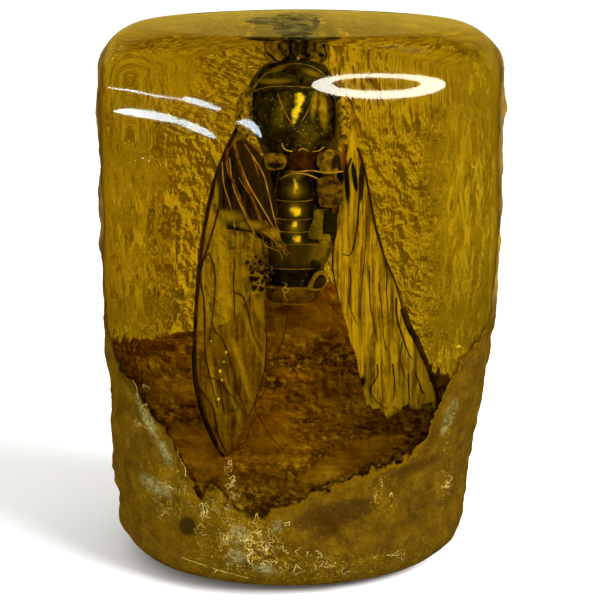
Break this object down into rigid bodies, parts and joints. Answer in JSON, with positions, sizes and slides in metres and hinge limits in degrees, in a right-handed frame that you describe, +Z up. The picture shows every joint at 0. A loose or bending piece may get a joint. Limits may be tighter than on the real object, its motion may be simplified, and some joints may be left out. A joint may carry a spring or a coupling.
{
  "type": "insect in resin block",
  "caption": "Upright amber-coloured resin block, polished in front and on top and rough round the sides and back, with a cicada cast inside it.",
  "frame": {"origin": "middle of the flat foot that the block stands on", "axes": "+Z up from the foot to the polished top, -Y out of the polished front window, +X to the right as seen from the front"},
  "size_m": [0.0542, 0.0423, 0.0746],
  "materials": {
    "amber_resin": "clear amber, polished in front and on top, rough elsewhere"
  },
  "bodies": {
    "root": {"resin_block": "amber_resin"}
  },
  "joints": []
}
